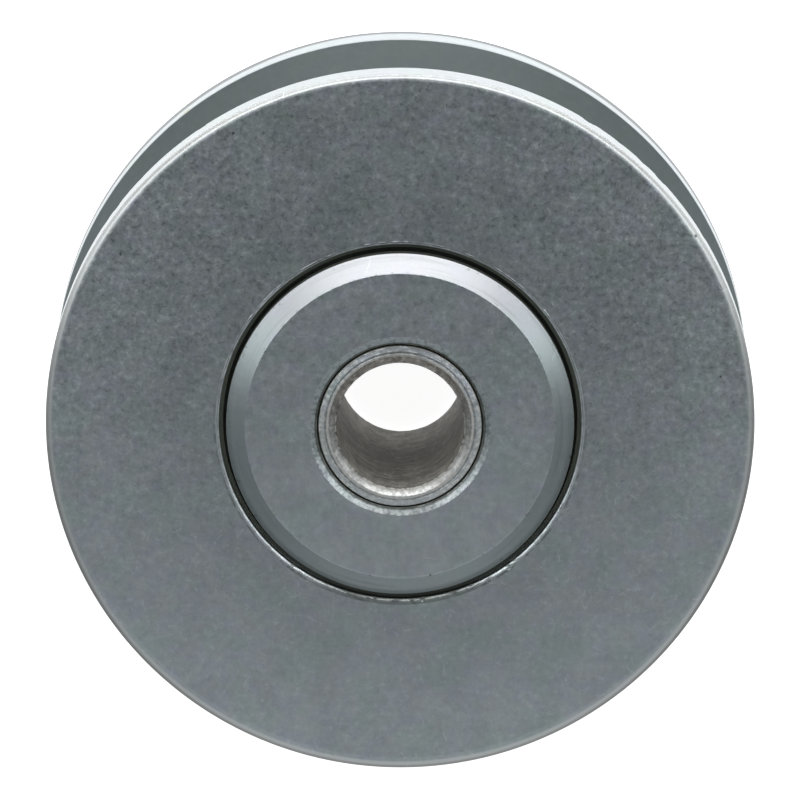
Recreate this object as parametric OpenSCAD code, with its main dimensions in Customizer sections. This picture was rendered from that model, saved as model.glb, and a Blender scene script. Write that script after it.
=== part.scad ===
// V-groove wheel for a sliding gate: a turned wheel that runs on two shielded
// ball bearings, round a tubular hub that is bolted through its bore.
// The wheel's axis is +Z, the origin is the middle of the wheel.

/* [Wheel] */
// Diameter over the rims
wheel_d = 80; // [74:0.5:120]
// Width of the groove where it opens
groove_w = 18.8; // [12:0.2:22]
// Angle between the two flanks of the groove
groove_angle = 90; // [70:1:110]
// Radius in the root of the groove
groove_root_r = 1; // [0.5:0.1:2]
// Bevel that breaks the two edges of the groove
groove_break = 0.2; // [0.1:0.05:0.5]
// Bevel on the outer edge of each face, across the face
rim_bevel_across = 0.95; // [0.4:0.05:2]
// Bevel on the outer edge of each face, down the rim
rim_bevel_down = 0.4; // [0.2:0.05:1.5]
// Bevel at the mouth of the wheel's bore, across the face
mouth_bevel_across = 0.25; // [0.1:0.05:1]
// Bevel at the mouth of the wheel's bore, down the bore
mouth_bevel_down = 0.2; // [0.1:0.05:1.1]
// Depth of the mouth, from the wheel's face to the bearing
mouth_depth = 1.75; // [1.5:0.05:4]
// How much wider the mouth is than the bearing seat, each side
mouth_relief = 0.43; // [0.2:0.01:1]
// Height of the shoulder between the bearings
shoulder_h = 2.5; // [1.5:0.1:3]
// Width of the shoulder between the bearings
shoulder_w = 2; // [1:0.1:6]

/* [Hub] */
// Diameter of the hole for the bolt
bore_d = 14.4; // [10:0.1:15]
// Gap between each hub disc and the mouth round it
disc_gap = 0.81; // [0.3:0.01:2]
// Thickness of each hub disc
disc_t = 2.6; // [2.4:0.1:5]
// Height of the boss that keeps each disc clear of the wheel and the shield
boss_h = 0.4; // [0.2:0.05:1.5]
// Width of the boss outside the tube
boss_w = 2.6; // [1.5:0.1:3]
// Bevel of each disc, across its face
disc_bevel_across = 2.15; // [0.5:0.05:4]
// Bevel of each disc, down its edge
disc_bevel_down = 1.2; // [0.4:0.05:1.6]
// Countersink round the end of the tube, across the disc's face
disc_sink_across = 0.9; // [0.3:0.05:1]
// Countersink round the end of the tube, down from the disc's face
disc_sink_down = 0.25; // [0.1:0.05:0.6]
// How far the end of the tube is spread outwards
flare_h = 0.7; // [0.3:0.05:1]
// Gap round the spread end of the tube
flare_gap = 0.23; // [0.05:0.01:0.5]
// Length of the spread end of the tube
flare_l = 2; // [1.8:0.05:2.2]
// How far the spread end slopes down to its outer edge
flare_slope = 0.15; // [0.1:0.05:0.6]
// Bevel at each mouth of the bore, across the tube's end
bore_bevel_across = 0.8; // [0.3:0.05:0.9]
// Bevel at each mouth of the bore, down the bore
bore_bevel_down = 0.5; // [0.3:0.05:2]
// Width of the line that the spreading tool leaves in the tube's end
tool_line_w = 0.18; // [0.1:0.01:0.25]
// Depth of that line
tool_line_depth = 0.2; // [0.05:0.01:0.5]

/* [Bearings] */
// Diameter of a bearing's bore
bearing_bore_d = 17; // [16.8:0.1:18]
// Diameter over a bearing's outer ring
bearing_outer_d = 40; // [38:0.5:47]
// Width of a bearing
bearing_w = 12; // [11:0.5:16]
// Number of balls in a bearing
ball_count = 8; // [6:1:9]
// Diameter of a ball
ball_d = 6.747; // [6:0.001:7]
// Play between a ball and the bottom of a race
ball_play = 0.04; // [0.01:0.01:0.08]
// Depth of a race below the ring's shoulder
race_depth = 1.25; // [0.8:0.05:1.6]
// How much larger a race's radius is than the ball's
race_open = 0.1; // [0.05:0.01:0.3]
// Bevel on the corners of the rings
ring_bevel = 0.6; // [0.2:0.05:0.8]
// Clearance of the ring seats, on the tube and in the wheel
seat_gap = 0.01; // [0.005:0.001:0.02]

/* [Cages and shields] */
// Thickness of the cage's sheet
cage_t = 0.6; // [0.3:0.05:0.8]
// Width of the cage's ribbon
cage_w = 2.8; // [1.8:0.1:3.2]
// Clearance of a ball in its pocket
pocket_gap = 0.1; // [0.05:0.01:0.2]
// Diameter of a cage rivet
rivet_d = 0.9; // [0.6:0.05:1.1]
// Diameter of a cage rivet's heads
rivet_head_d = 1.7; // [1.3:0.05:1.9]
// Height of a cage rivet's heads
rivet_head_h = 0.4; // [0.2:0.05:0.5]
// Thickness of a shield's sheet
shield_t = 0.35; // [0.2:0.05:0.45]
// How far a shield lies below the ring's face
shield_depth = 0.3; // [0.15:0.05:0.4]
// How far a shield's rim lies below its plate
shield_step = 0.5; // [0.45:0.05:0.7]
// Width of a shield's rim
shield_rim_w = 0.8; // [0.5:0.05:1]
// How far a shield's rim reaches into its groove
shield_grip = 0.4; // [0.2:0.05:0.6]
// Gap between a shield and the inner ring
shield_gap = 0.35; // [0.15:0.05:0.6]

/* [Hidden] */
$fn = 96;
overcut = 1; // how far a cutting shape runs past the solid

ENDS = ["front", "rear"];
BEARING_PIECES = [
    "outer_ring", "inner_ring", "outer_shield", "inner_shield",
    "outer_cage_half", "inner_cage_half", "cage_rivets"
];

// Heights above the middle of the wheel
bearing_z = shoulder_w / 2 + bearing_w / 2;
bearing_face_z = bearing_z + bearing_w / 2;
wheel_face_z = bearing_face_z + mouth_depth;
disc_back_z = bearing_face_z + boss_h;
disc_face_z = disc_back_z + disc_t;

// The wheel
wheel_r = wheel_d / 2;
seat_r = bearing_outer_d / 2 + seat_gap;
mouth_r = seat_r + mouth_relief;
half_angle = groove_angle / 2;
groove_depth = groove_w / 2 / tan(half_angle);
groove_bottom_r = wheel_r - groove_depth;
root_centre_r = groove_bottom_r + groove_root_r / sin(half_angle);
root_tangent_r = root_centre_r - groove_root_r * sin(half_angle);
root_tangent_z = groove_root_r * cos(half_angle);

// The hub
tube_r = bearing_bore_d / 2 - seat_gap;
tube_bore_r = bore_d / 2;
flare_r = tube_r + flare_h;
flare_z = disc_face_z - flare_l;
disc_r = mouth_r - disc_gap;
disc_bore_r = tube_r + seat_gap;
disc_sink_r = flare_r + flare_gap;

// The bearings
ball_r = ball_d / 2;
pitch_r = (bearing_outer_d + bearing_bore_d) / 4;
race_r = ball_r + race_open;
inner_race_r = pitch_r - ball_r - ball_play;
outer_race_r = pitch_r + ball_r + ball_play;
inner_shoulder_r = inner_race_r + race_depth;
outer_shoulder_r = outer_race_r - race_depth;
pocket_r = ball_r + pocket_gap;
ball_turn = 360 / ball_count;

// The shields, as depths below the bearing's face
shield_rim_top = shield_depth + shield_step;
shield_rim_under = shield_rim_top + shield_t;
shield_groove_r = outer_shoulder_r + shield_grip;
shield_entry_r = outer_shoulder_r + shield_grip / 2;
shield_inner_r = inner_shoulder_r + shield_gap;

// A profile above the middle plane, with its mirror image below it
function both_halves(half) =
    concat(half, [for (i = [len(half) - 1:-1:0]) [half[i][0], -half[i][1]]]);

// The shape is made at the front; the rear one is its mirror image
module at_end(end) {
    mirror([0, 0, end == "rear" ? 1 : 0]) children();
}

module at_bearing(end) {
    at_end(end) translate([0, 0, bearing_z]) children();
}

module at_each_ball() {
    for (i = [0:ball_count - 1]) rotate(i * ball_turn) translate([pitch_r, 0, 0]) children();
}

module at_each_rivet() {
    rotate(ball_turn / 2) at_each_ball() children();
}

// Two flanks, with a round root between them and a bevel on each edge
module groove_cutter() {
    rotate_extrude() polygon(both_halves([
        [root_tangent_r, root_tangent_z],
        [wheel_r - groove_break, groove_w / 2 - groove_break * tan(half_angle)],
        [wheel_r, groove_w / 2 + groove_break],
        [wheel_r + overcut, groove_w / 2 + groove_break + overcut]
    ]));
    rotate_extrude() translate([root_centre_r, 0]) circle(groove_root_r);
}

module wheel_body() {
    color("#8e9297") difference() {
        rotate_extrude() polygon(both_halves([
            [seat_r - shoulder_h, shoulder_w / 2],
            [seat_r, shoulder_w / 2],
            [seat_r, bearing_face_z],
            [mouth_r, bearing_face_z],
            [mouth_r, wheel_face_z - mouth_bevel_down],
            [mouth_r + mouth_bevel_across, wheel_face_z],
            [wheel_r - rim_bevel_across, wheel_face_z],
            [wheel_r, wheel_face_z - rim_bevel_down]
        ]));
        groove_cutter();
    }
}

// A tube whose ends are spread outwards into the discs, which holds the hub together
module hub_tube() {
    line_r = tube_r - tool_line_w / 2;
    color("#a3a39f") rotate_extrude() polygon(both_halves([
        [tube_bore_r, disc_face_z - bore_bevel_down],
        [tube_bore_r + bore_bevel_across, disc_face_z],
        [line_r - tool_line_w / 2, disc_face_z],
        [line_r, disc_face_z - tool_line_depth],
        [line_r + tool_line_w / 2, disc_face_z],
        [flare_r, disc_face_z - flare_slope],
        [flare_r, flare_z + flare_h],
        [tube_r, flare_z]
    ]));
}

// The boss stands on the inner ring; the spread tube holds the disc by its inside cone
module hub_disc() {
    cone_z = flare_z - 2 * seat_gap;
    color("#8a8e93") rotate_extrude() polygon([
        [disc_bore_r, bearing_face_z],
        [tube_r + boss_w, bearing_face_z],
        [tube_r + boss_w, disc_back_z],
        [disc_r, disc_back_z],
        [disc_r, disc_face_z - disc_bevel_down],
        [disc_r - disc_bevel_across, disc_face_z],
        [disc_sink_r + disc_sink_across, disc_face_z],
        [disc_sink_r, disc_face_z - disc_sink_down],
        [disc_sink_r, cone_z + disc_sink_r - disc_bore_r],
        [disc_bore_r, cone_z]
    ]);
}

module inner_spacer() {
    color("#9a9da1") rotate_extrude() polygon([
        [disc_bore_r, -shoulder_w / 2],
        [tube_r + boss_w, -shoulder_w / 2],
        [tube_r + boss_w, shoulder_w / 2],
        [disc_bore_r, shoulder_w / 2]
    ]);
}

module inner_ring() {
    color("#b4b7ba") difference() {
        rotate_extrude() polygon(both_halves([
            [bearing_bore_d / 2, bearing_w / 2 - ring_bevel],
            [bearing_bore_d / 2 + ring_bevel, bearing_w / 2],
            [inner_shoulder_r, bearing_w / 2]
        ]));
        rotate_extrude() translate([inner_race_r + race_r, 0]) circle(race_r);
    }
}

// At each side, a groove holds the shield's rim against the ring's own shoulder
module outer_ring() {
    color("#b4b7ba") difference() {
        rotate_extrude() polygon(both_halves([
            [outer_shoulder_r, bearing_w / 2 - shield_rim_under],
            [shield_groove_r, bearing_w / 2 - shield_rim_under],
            [shield_groove_r, bearing_w / 2 - shield_rim_top],
            [shield_entry_r, bearing_w / 2 - shield_rim_top + shield_grip / 2],
            [shield_entry_r, bearing_w / 2],
            [bearing_outer_d / 2 - ring_bevel, bearing_w / 2],
            [bearing_outer_d / 2, bearing_w / 2 - ring_bevel]
        ]));
        rotate_extrude() translate([outer_race_r - race_r, 0]) circle(race_r);
    }
}

// A pressed sheet: a rim in the ring's groove, a step up to the plate, and a turned-in edge
module shield() {
    rim_r = shield_groove_r - seat_gap;
    step_r = outer_shoulder_r - shield_rim_w;
    color("#a9acaf") translate([0, 0, bearing_w / 2]) rotate_extrude() polygon([
        [rim_r, -shield_rim_under],
        [rim_r, -shield_rim_top],
        [step_r + shield_t, -shield_rim_top],
        [step_r - shield_step + shield_t, -shield_depth],
        [shield_inner_r, -shield_depth],
        [shield_inner_r, -shield_rim_under],
        [shield_inner_r + shield_t, -shield_rim_under],
        [shield_inner_r + shield_t, -shield_depth - shield_t],
        [step_r - shield_step, -shield_depth - shield_t],
        [step_r, -shield_rim_under]
    ]);
}

// A pressed ribbon: flat lands between the balls, and half a hollow sphere over each one
module cage_half() {
    pocket_top = pocket_r + cage_t;
    color("#9d9282") difference() {
        intersection() {
            rotate_extrude() translate([pitch_r - cage_w / 2, 0]) square([cage_w, pocket_top + overcut]);
            union() {
                cylinder(r = pitch_r + cage_w, h = cage_t);
                at_each_ball() sphere(pocket_top);
            }
        }
        at_each_ball() sphere(pocket_r);
        at_each_rivet() translate([0, 0, -overcut])
            cylinder(d = rivet_d + 2 * seat_gap, h = cage_t + 2 * overcut);
    }
}

module cage_rivets() {
    color("#8d8474") at_each_rivet() rotate_extrude() polygon(both_halves([
        [0, cage_t + rivet_head_h],
        [rivet_head_d / 4, cage_t + rivet_head_h],
        [rivet_head_d / 2, cage_t + rivet_head_h / 3],
        [rivet_head_d / 2, cage_t],
        [rivet_d / 2, cage_t]
    ]));
}

module ball(i) {
    color("#c6c9cc") rotate((i - 1) * ball_turn) translate([pitch_r, 0, 0]) sphere(ball_r);
}

wheel_body();
hub_tube();
inner_spacer();
for (end = ENDS) {
    at_end(end) hub_disc();
    at_bearing(end) outer_ring();
    at_bearing(end) inner_ring();
    at_bearing(end) shield();
    at_bearing(end) mirror([0, 0, 1]) shield();
    at_bearing(end) cage_half();
    at_bearing(end) mirror([0, 0, 1]) cage_half();
    at_bearing(end) cage_rivets();
    for (i = [1:ball_count])
        at_bearing(end) ball(i);
}
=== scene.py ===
# %% [markdown]
# # A V-groove wheel in zinc-plated steel
#
# The real object is a turned steel wheel for a sliding gate. It runs on two ball
# bearings round a hub: a tube whose ends are spread out over two bevelled discs. The
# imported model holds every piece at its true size. This script keeps those places
# and gives each surface its finish: the turned pieces get rounded and knocked edges,
# and every metal gets its own grain, stains and scratches.

# %% The frame
import math
from types import SimpleNamespace

import bpy
from mathutils import Matrix, Vector


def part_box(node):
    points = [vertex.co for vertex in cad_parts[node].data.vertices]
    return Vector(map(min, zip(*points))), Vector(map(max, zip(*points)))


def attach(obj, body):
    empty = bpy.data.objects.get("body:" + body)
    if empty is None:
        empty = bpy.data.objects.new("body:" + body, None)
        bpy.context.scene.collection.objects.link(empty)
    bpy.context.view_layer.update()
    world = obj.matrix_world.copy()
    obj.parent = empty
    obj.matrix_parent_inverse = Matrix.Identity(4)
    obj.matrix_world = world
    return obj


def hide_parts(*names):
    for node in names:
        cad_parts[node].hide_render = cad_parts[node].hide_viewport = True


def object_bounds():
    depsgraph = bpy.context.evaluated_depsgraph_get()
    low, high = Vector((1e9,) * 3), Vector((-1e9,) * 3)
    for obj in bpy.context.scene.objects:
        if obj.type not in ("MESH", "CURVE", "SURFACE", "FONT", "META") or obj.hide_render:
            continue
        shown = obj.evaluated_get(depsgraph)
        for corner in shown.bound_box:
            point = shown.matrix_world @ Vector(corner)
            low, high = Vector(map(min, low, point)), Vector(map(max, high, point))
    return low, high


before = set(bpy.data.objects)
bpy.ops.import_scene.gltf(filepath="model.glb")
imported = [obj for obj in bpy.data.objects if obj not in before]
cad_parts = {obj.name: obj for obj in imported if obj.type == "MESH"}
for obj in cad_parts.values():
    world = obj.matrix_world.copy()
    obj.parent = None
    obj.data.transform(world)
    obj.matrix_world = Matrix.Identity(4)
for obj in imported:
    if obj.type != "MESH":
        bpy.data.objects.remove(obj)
cad_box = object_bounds()
MM = 0.001
print("the packed part measures", [round((b - a) / MM, 2) for a, b in zip(*cad_box)], "mm")

# %% [markdown]
# ## The sizes that the looks need
#
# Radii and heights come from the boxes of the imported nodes, so that the dressed
# pieces can't drift from the construction. Only small things that a box doesn't
# show, such as a bevel, are written here, in the sizes that the drawing gives. Both
# edges of the front face were cut a fifth of a millimetre off the axis.

# %% Sizes
def radius_of(node):
    """Half the width of a round node."""
    low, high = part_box(node)
    return (high[0] - low[0]) / 2


def top_of(node):
    """The height of a node's upper face above the middle of the wheel."""
    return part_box(node)[1][2]


wheel_r = radius_of("wheel_body")
wheel_face = top_of("wheel_body")
disc_r = radius_of("front_hub_disc")
disc_face = top_of("front_hub_disc")
bearing_r = radius_of("front_outer_ring")
bearing_face = top_of("front_outer_ring")
flare_r = radius_of("hub_tube")
boss_r = radius_of("inner_spacer")

bore_r = 7.2 * MM
tube_r = 8.49 * MM
mouth_r = 20.44 * MM
groove_mouth = 9.4 * MM
OFF_CENTRE = 0.2 * MM
print("wheel radius", round(wheel_r / MM, 2), "mm, face at", round(wheel_face / MM, 2), "mm")

# %% [markdown]
# ## The camera
#
# The wheel is looked at almost along its axis, from a little above: the axis leans
# twelve degrees from the line of sight, and a long lens keeps the two rims nearly the
# same size. The wheel stands on its hub here, so the camera hangs over it.

# %% Camera
CAMERA_TILT = math.radians(11.79)
CAMERA_YAW = 0.0033
CAMERA_DISTANCE = 25.65 * wheel_r
LENS, SENSOR = 403.56, 36
AIM = Vector((-0.0016, -0.0073, 0)) * wheel_r
FAR_ENOUGH = 20


def add_camera():
    """A camera over the wheel, with the picture's upper edge towards +Y."""
    back = Vector((CAMERA_YAW, math.sin(CAMERA_TILT), math.cos(CAMERA_TILT))).normalized()
    right = Vector((0, 1, 0)).cross(back).normalized()
    up = back.cross(right)
    camera = bpy.data.objects.new("camera", bpy.data.cameras.new("camera"))
    camera.data.lens = LENS
    camera.data.sensor_width = SENSOR
    camera.data.clip_end = FAR_ENOUGH
    axes = Matrix((right, up, back)).transposed().to_4x4()
    camera.matrix_world = Matrix.Translation(AIM + back * CAMERA_DISTANCE) @ axes
    bpy.context.scene.collection.objects.link(camera)
    bpy.context.scene.camera = camera
    print("camera", round(CAMERA_DISTANCE, 3), "m from the wheel")


add_camera()

# %% [markdown]
# ## Node trees as expressions
#
# Materials and modifiers are both trees of nodes. `Tree.add` makes any node from its
# type, its settings and its inputs, and returns a `Value`. A sum on values adds Math
# nodes, so a mask for stains or scratches reads like its formula.

# %% Values
class Value:
    """What one socket gives. Arithmetic on it adds Math nodes to its tree."""

    def __init__(self, tree, socket):
        self.tree, self.socket = tree, socket

    def math(self, operation, *others):
        return self.tree.math(operation, self, *others)

    def __add__(self, other):
        return self.math("ADD", other)

    def __mul__(self, other):
        return self.math("MULTIPLY", other)

    def __sub__(self, other):
        return self.math("SUBTRACT", other)

    def __truediv__(self, other):
        return self.math("DIVIDE", other)

    def __rsub__(self, other):
        return self.tree.math("SUBTRACT", other, self)

    def __abs__(self):
        return self.math("ABSOLUTE")

    __radd__, __rmul__ = __add__, __mul__

    def rise(self, start, end):
        """0 up to start and 1 from end on, with a soft turn at both. It falls if end < start."""
        low, high = min(start, end), max(start, end)
        ends = [0.0, 1.0] if start < end else [1.0, 0.0]
        settings = {"interpolation_type": "SMOOTHSTEP"}
        return self.tree.add("ShaderNodeMapRange", settings, [self, low, high, *ends])

    def band(self, middle, half_width, soft):
        """1 within half a width of the middle, and 0 beyond a soft edge."""
        return abs(self - middle).rise(half_width + soft, half_width)

    def out(self, name):
        """Another output of the same node."""
        return Value(self.tree, self.socket.node.outputs[name])

# %% Trees
class Tree:
    """Adds nodes to the tree of a material, a world or a modifier."""

    def __init__(self, node_tree):
        self.nodes, self.links = node_tree.nodes, node_tree.links

    def add(self, kind, settings=None, inputs=(), output=0):
        node = self.nodes.new(kind)
        for name, setting in (settings or {}).items():
            setattr(node, name, setting)
        for key, value in inputs.items() if isinstance(inputs, dict) else enumerate(inputs):
            if isinstance(value, Value):
                self.links.new(value.socket, node.inputs[key])
            else:
                node.inputs[key].default_value = value
        return Value(self, node.outputs[output]) if len(node.outputs) else None

    def math(self, operation, *values):
        return self.add("ShaderNodeMath", {"operation": operation}, values)

    def vector(self, operation, *vectors, output=0):
        return self.add("ShaderNodeVectorMath", {"operation": operation}, vectors, output)

    def combine(self, x=0.0, y=0.0, z=0.0):
        return self.add("ShaderNodeCombineXYZ", {}, [x, y, z])

    def split(self, vector):
        x = self.add("ShaderNodeSeparateXYZ", {}, [vector])
        return x, x.out("Y"), x.out("Z")

    def moved(self, place, x, y, z):
        return self.vector("ADD", place, (x, y, z))

    def scaled(self, vector, factor):
        inputs = {"Vector": vector, "Scale": factor}
        return self.add("ShaderNodeVectorMath", {"operation": "SCALE"}, inputs)

    def distance(self, place, other):
        return self.vector("DISTANCE", place, other, output="Value")

    def radius(self, place):
        """How far a place is from the wheel's axis."""
        x, y, _ = self.split(place)
        return self.vector("LENGTH", self.combine(x, y), output="Value")

    def mix(self, share, first, second):
        """A colour that goes from the first to the second as the share goes from 0 to 1."""
        inputs = {0: share, 6: first, 7: second}
        return self.add("ShaderNodeMix", {"data_type": "RGBA"}, inputs, output=2)

    def noise(self, place, size, detail=2.0, roughness=0.5):
        """Soft random values, mostly from 0.3 to 0.7, in blobs of about this size."""
        inputs = {"Vector": place, "Scale": 1 / size, "Detail": detail, "Roughness": roughness}
        return self.add("ShaderNodeTexNoise", {}, inputs)


def largest(values):
    """The largest of some values at each place."""
    first, *rest = values
    for value in rest:
        first = first.math("MAXIMUM", value)
    return first

# %% [markdown]
# ## Light and floor
#
# A satin metal looks like what it mirrors. One large bright panel hangs over the far
# half of the wheel, so the bevels that lean towards it turn white, while the flat
# faces mirror the dark near side and stay grey. Two dimmer panels carry that light
# round the sides, and a low card in front lifts the near half of the face. The floor
# and the world are white to the eye, and the floor keeps the wheel's soft shadow.

# %% World and floor
WHITE, COOL_WHITE, PALE = (1, 1, 1, 1), (0.97, 1, 1, 1), (0.8, 0.8, 0.8, 1)


def rays(tree, *kinds):
    """1 for a ray of any of these kinds, and 0 for the rest."""
    paths = tree.add("ShaderNodeLightPath")
    return largest([paths.out(f"Is {kind} Ray") for kind in kinds])


def add_world(fill):
    """White behind the object, and an even fill of this strength on it."""
    world = bpy.data.worlds.new("studio")
    bpy.context.scene.world = world
    world.use_nodes = True
    world.node_tree.nodes.clear()
    tree = Tree(world.node_tree)
    white = tree.add("ShaderNodeBackground", {}, [WHITE, 1.0])
    cool = tree.add("ShaderNodeBackground", {}, [COOL_WHITE, fill])
    seen = rays(tree, "Camera", "Transmission")
    tree.add("ShaderNodeOutputWorld", {}, [tree.add("ShaderNodeMixShader", {}, [seen, cool, white])])


def add_floor(height, glow, half):
    """A pale floor that glows to the eye and in mirrors, and is clear from below."""
    material = bpy.data.materials.new("floor")
    material.use_nodes = True
    material.node_tree.nodes.clear()
    tree = Tree(material.node_tree)
    pale = tree.add("ShaderNodeBsdfDiffuse", {}, [PALE])
    seen = rays(tree, "Camera", "Glossy", "Transmission")
    light = tree.add("ShaderNodeEmission", {}, [WHITE, seen * glow])
    both = tree.add("ShaderNodeAddShader", {}, [pale, light])
    clear = tree.add("ShaderNodeBsdfTransparent")
    below = tree.add("ShaderNodeNewGeometry").out("Backfacing")
    tree.add("ShaderNodeOutputMaterial", {}, [
        tree.add("ShaderNodeMixShader", {}, [below, both, clear])])
    mesh = bpy.data.meshes.new("floor")
    corners = [(-half, -half), (half, -half), (half, half), (-half, half)]
    mesh.from_pydata([(x, y, height) for x, y in corners], [], [(0, 1, 2, 3)])
    mesh.materials.append(material)
    floor = bpy.data.objects.new("floor", mesh)
    bpy.context.scene.collection.objects.link(floor)


bpy.context.scene.view_settings.view_transform = "Standard"
add_world(fill=0.2)
add_floor(cad_box[0][2], glow=0.93, half=0.25)

# %% Light panels
def add_panel(name, x, y, height, radiance, colour=(1, 1, 1)):
    """A soft lamp that looks straight down. Its power follows from its area and brightness.

    x and y are its two edges, as shares of its height over the wheel.
    """
    width, depth = (x[1] - x[0]) * height, (y[1] - y[0]) * height
    lamp = bpy.data.lights.new(name, "AREA")
    lamp.shape = "RECTANGLE"
    lamp.size, lamp.size_y = width, depth
    lamp.energy = radiance * math.pi * width * depth
    lamp.color = colour
    panel = bpy.data.objects.new(name, lamp)
    centre = Vector((sum(x) / 2, sum(y) / 2, 1)) * height
    panel.matrix_world = Matrix.Translation(centre)
    panel.visible_camera = False
    bpy.context.scene.collection.objects.link(panel)


HIGH, LOW = 1.2, 0.35
add_panel("back_panel", (-0.9, 0.9), (0.8, 2.3), HIGH, radiance=2.75, colour=(1, 0.965, 0.935))
add_panel("left_panel", (-1.7, -0.42), (0.2, 0.8), HIGH, radiance=1.7)
add_panel("right_panel", (0.42, 1.7), (0.2, 0.8), HIGH, radiance=1.7)
add_panel("front_card", (-0.8, 1.0), (-2.6, -0.3), LOW, radiance=0.33)
print("light from", sorted(lamp.name for lamp in bpy.data.lights))

# %% [markdown]
# ## Turned pieces
#
# The wheel, the hub's discs and its tube are turned on a lathe: one outline, swept
# round the axis. A modifier tree does that sweep here too. A grid of points takes
# its columns from the outline and its rows from the angle. A plain Spin would give
# the same form, but the tree also makes the edges ragged where the outline asks for
# it, and presses in the places where they were struck.

# %% The outline
MOST_OF_A_SIDE, NEARLY_HALF = 0.4, 0.45
BESIDE_WIDE, BESIDE_TINY = (0.2 * MM, 0.6 * MM, 1.4 * MM), (0.02 * MM, 0.15 * MM)
TINY_ROUND = 0.1 * MM


def rounded(before, corner, after, radius, steps):
    """Points of the round that takes the place of a corner."""
    into, onward = (before - corner).normalized(), (after - corner).normalized()
    half = into.angle(onward) / 2
    longest = MOST_OF_A_SIDE * min((before - corner).length, (after - corner).length)
    reach = min(radius / math.tan(half), longest)
    centre = corner + (into + onward).normalized() * reach / math.cos(half)
    start, end = corner + into * reach - centre, corner + onward * reach - centre
    turn = start.angle(end)
    points = []
    for i in range(steps + 1):
        from_start, from_end = math.sin(i / steps * turn), math.sin((1 - i / steps) * turn)
        points.append(centre + (start * from_end + end * from_start) / math.sin(turn))
    return points


def holds(point, towards, distances):
    """Points on the straight beside a round, which keep the straight flat."""
    way = towards - point
    return [point + way.normalized() * d for d in distances if d < NEARLY_HALF * way.length]


def outline(corners):
    """The points of a closed outline, each with how ragged it is.

    A corner is (radius, height, rounding), and a fourth number makes it ragged.
    """
    spots = [Vector(corner[:2]) for corner in corners]
    points = []
    for i, (_, _, rounding, *ragged) in enumerate(corners):
        before, after = spots[i - 1], spots[(i + 1) % len(spots)]
        if not rounding:
            points.append((spots[i], 0))
            continue
        tiny = rounding < TINY_ROUND
        beside = BESIDE_TINY if tiny else BESIDE_WIDE
        bend = rounded(before, spots[i], after, rounding, steps=2 if tiny else 4)
        points += [(point, 0) for point in holds(bend[0], before, beside)[::-1]]
        points += [(point, sum(ragged)) for point in bend]
        points += [(point, 0) for point in holds(bend[-1], after, beside)]
    return points + points[:1]


def mirrored(corners):
    """The same corners on the other side of the middle plane, from the last to the first."""
    return [(r, -z, *rest) for r, z, *rest in corners[::-1]]

# %% The lathe tree
ROUNDING_ERROR, SAME_POINT = 1e-5, 1e-6
KNOCK_DEPTH = 0.45


def new_group(name, sockets):
    """A geometry tree with these named inputs."""
    group = bpy.data.node_groups.new(name, "GeometryNodeTree")
    group.interface.new_socket("Geometry", in_out="INPUT", socket_type="NodeSocketGeometry")
    for label, kind in sockets.items():
        group.interface.new_socket(label, in_out="INPUT", socket_type=f"NodeSocket{kind}")
    group.interface.new_socket("Geometry", in_out="OUTPUT", socket_type="NodeSocketGeometry")
    return group


def named(tree, name):
    """A number that the points of a mesh carry."""
    return tree.add("GeometryNodeInputNamedAttribute", {"data_type": "FLOAT"}, {"Name": name})


def sample(tree, data_type, geometry, value, index):
    """A value at one point of another geometry."""
    inputs = {"Geometry": geometry, "Value": value, "Index": index}
    return tree.add("GeometryNodeSampleIndex", {"data_type": data_type}, inputs)


def swept(tree, line, segments, place):
    """A line swept round Z: a column of the grid for each point, a row for each angle."""
    rows = segments + 1
    columns = tree.add("GeometryNodeAttributeDomainSize", {}, [line])
    grid = tree.add("GeometryNodeMeshGrid", {}, {"Vertices X": columns, "Vertices Y": rows})
    index = tree.add("GeometryNodeInputIndex")
    column = (index / rows + ROUNDING_ERROR).math("FLOOR")
    angle = (index - column * rows) / segments * (2 * math.pi)
    radius, _, height = tree.split(sample(tree, "FLOAT_VECTOR", line, place, column))
    spot = tree.combine(radius * angle.math("COSINE"), radius * angle.math("SINE"), height)
    turned = tree.add("GeometryNodeSetPosition", {}, {"Geometry": grid, "Position": spot})
    ragged = sample(tree, "FLOAT", line, named(tree, "ragged"), column)
    marked = tree.add("GeometryNodeStoreNamedAttribute", {"data_type": "FLOAT", "domain": "POINT"}, {
        "Geometry": turned, "Name": "ragged", "Value": ragged})
    return tree.add("GeometryNodeMergeByDistance", {}, {"Geometry": marked, "Distance": SAME_POINT})


def off_centre(tree, place):
    """1 at both edges of the front face, which were cut a little off the axis, and 0 elsewhere."""
    radius, height = tree.radius(place), tree.split(place)[2]
    bevel = radius.rise(wheel_r - 1.7 * MM, wheel_r - 1 * MM)
    bevel = bevel * radius.rise(wheel_r, wheel_r - 0.75 * MM)
    mouth = radius.rise(mouth_r + 1.6 * MM, mouth_r + 0.5 * MM)
    return (mouth + bevel) * height.rise(wheel_face - 1.6 * MM, wheel_face - 0.5 * MM)


def torn_by(tree, height, place):
    """How far the ragged edges stand up or dip, from one point to the next."""
    coarse, fine = tree.noise(place, 1.1 * MM, 2.0), tree.noise(place, 0.45 * MM, 1.0)
    return (coarse + fine - 0.9) * 2.2 * height * named(tree, "ragged")


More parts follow.
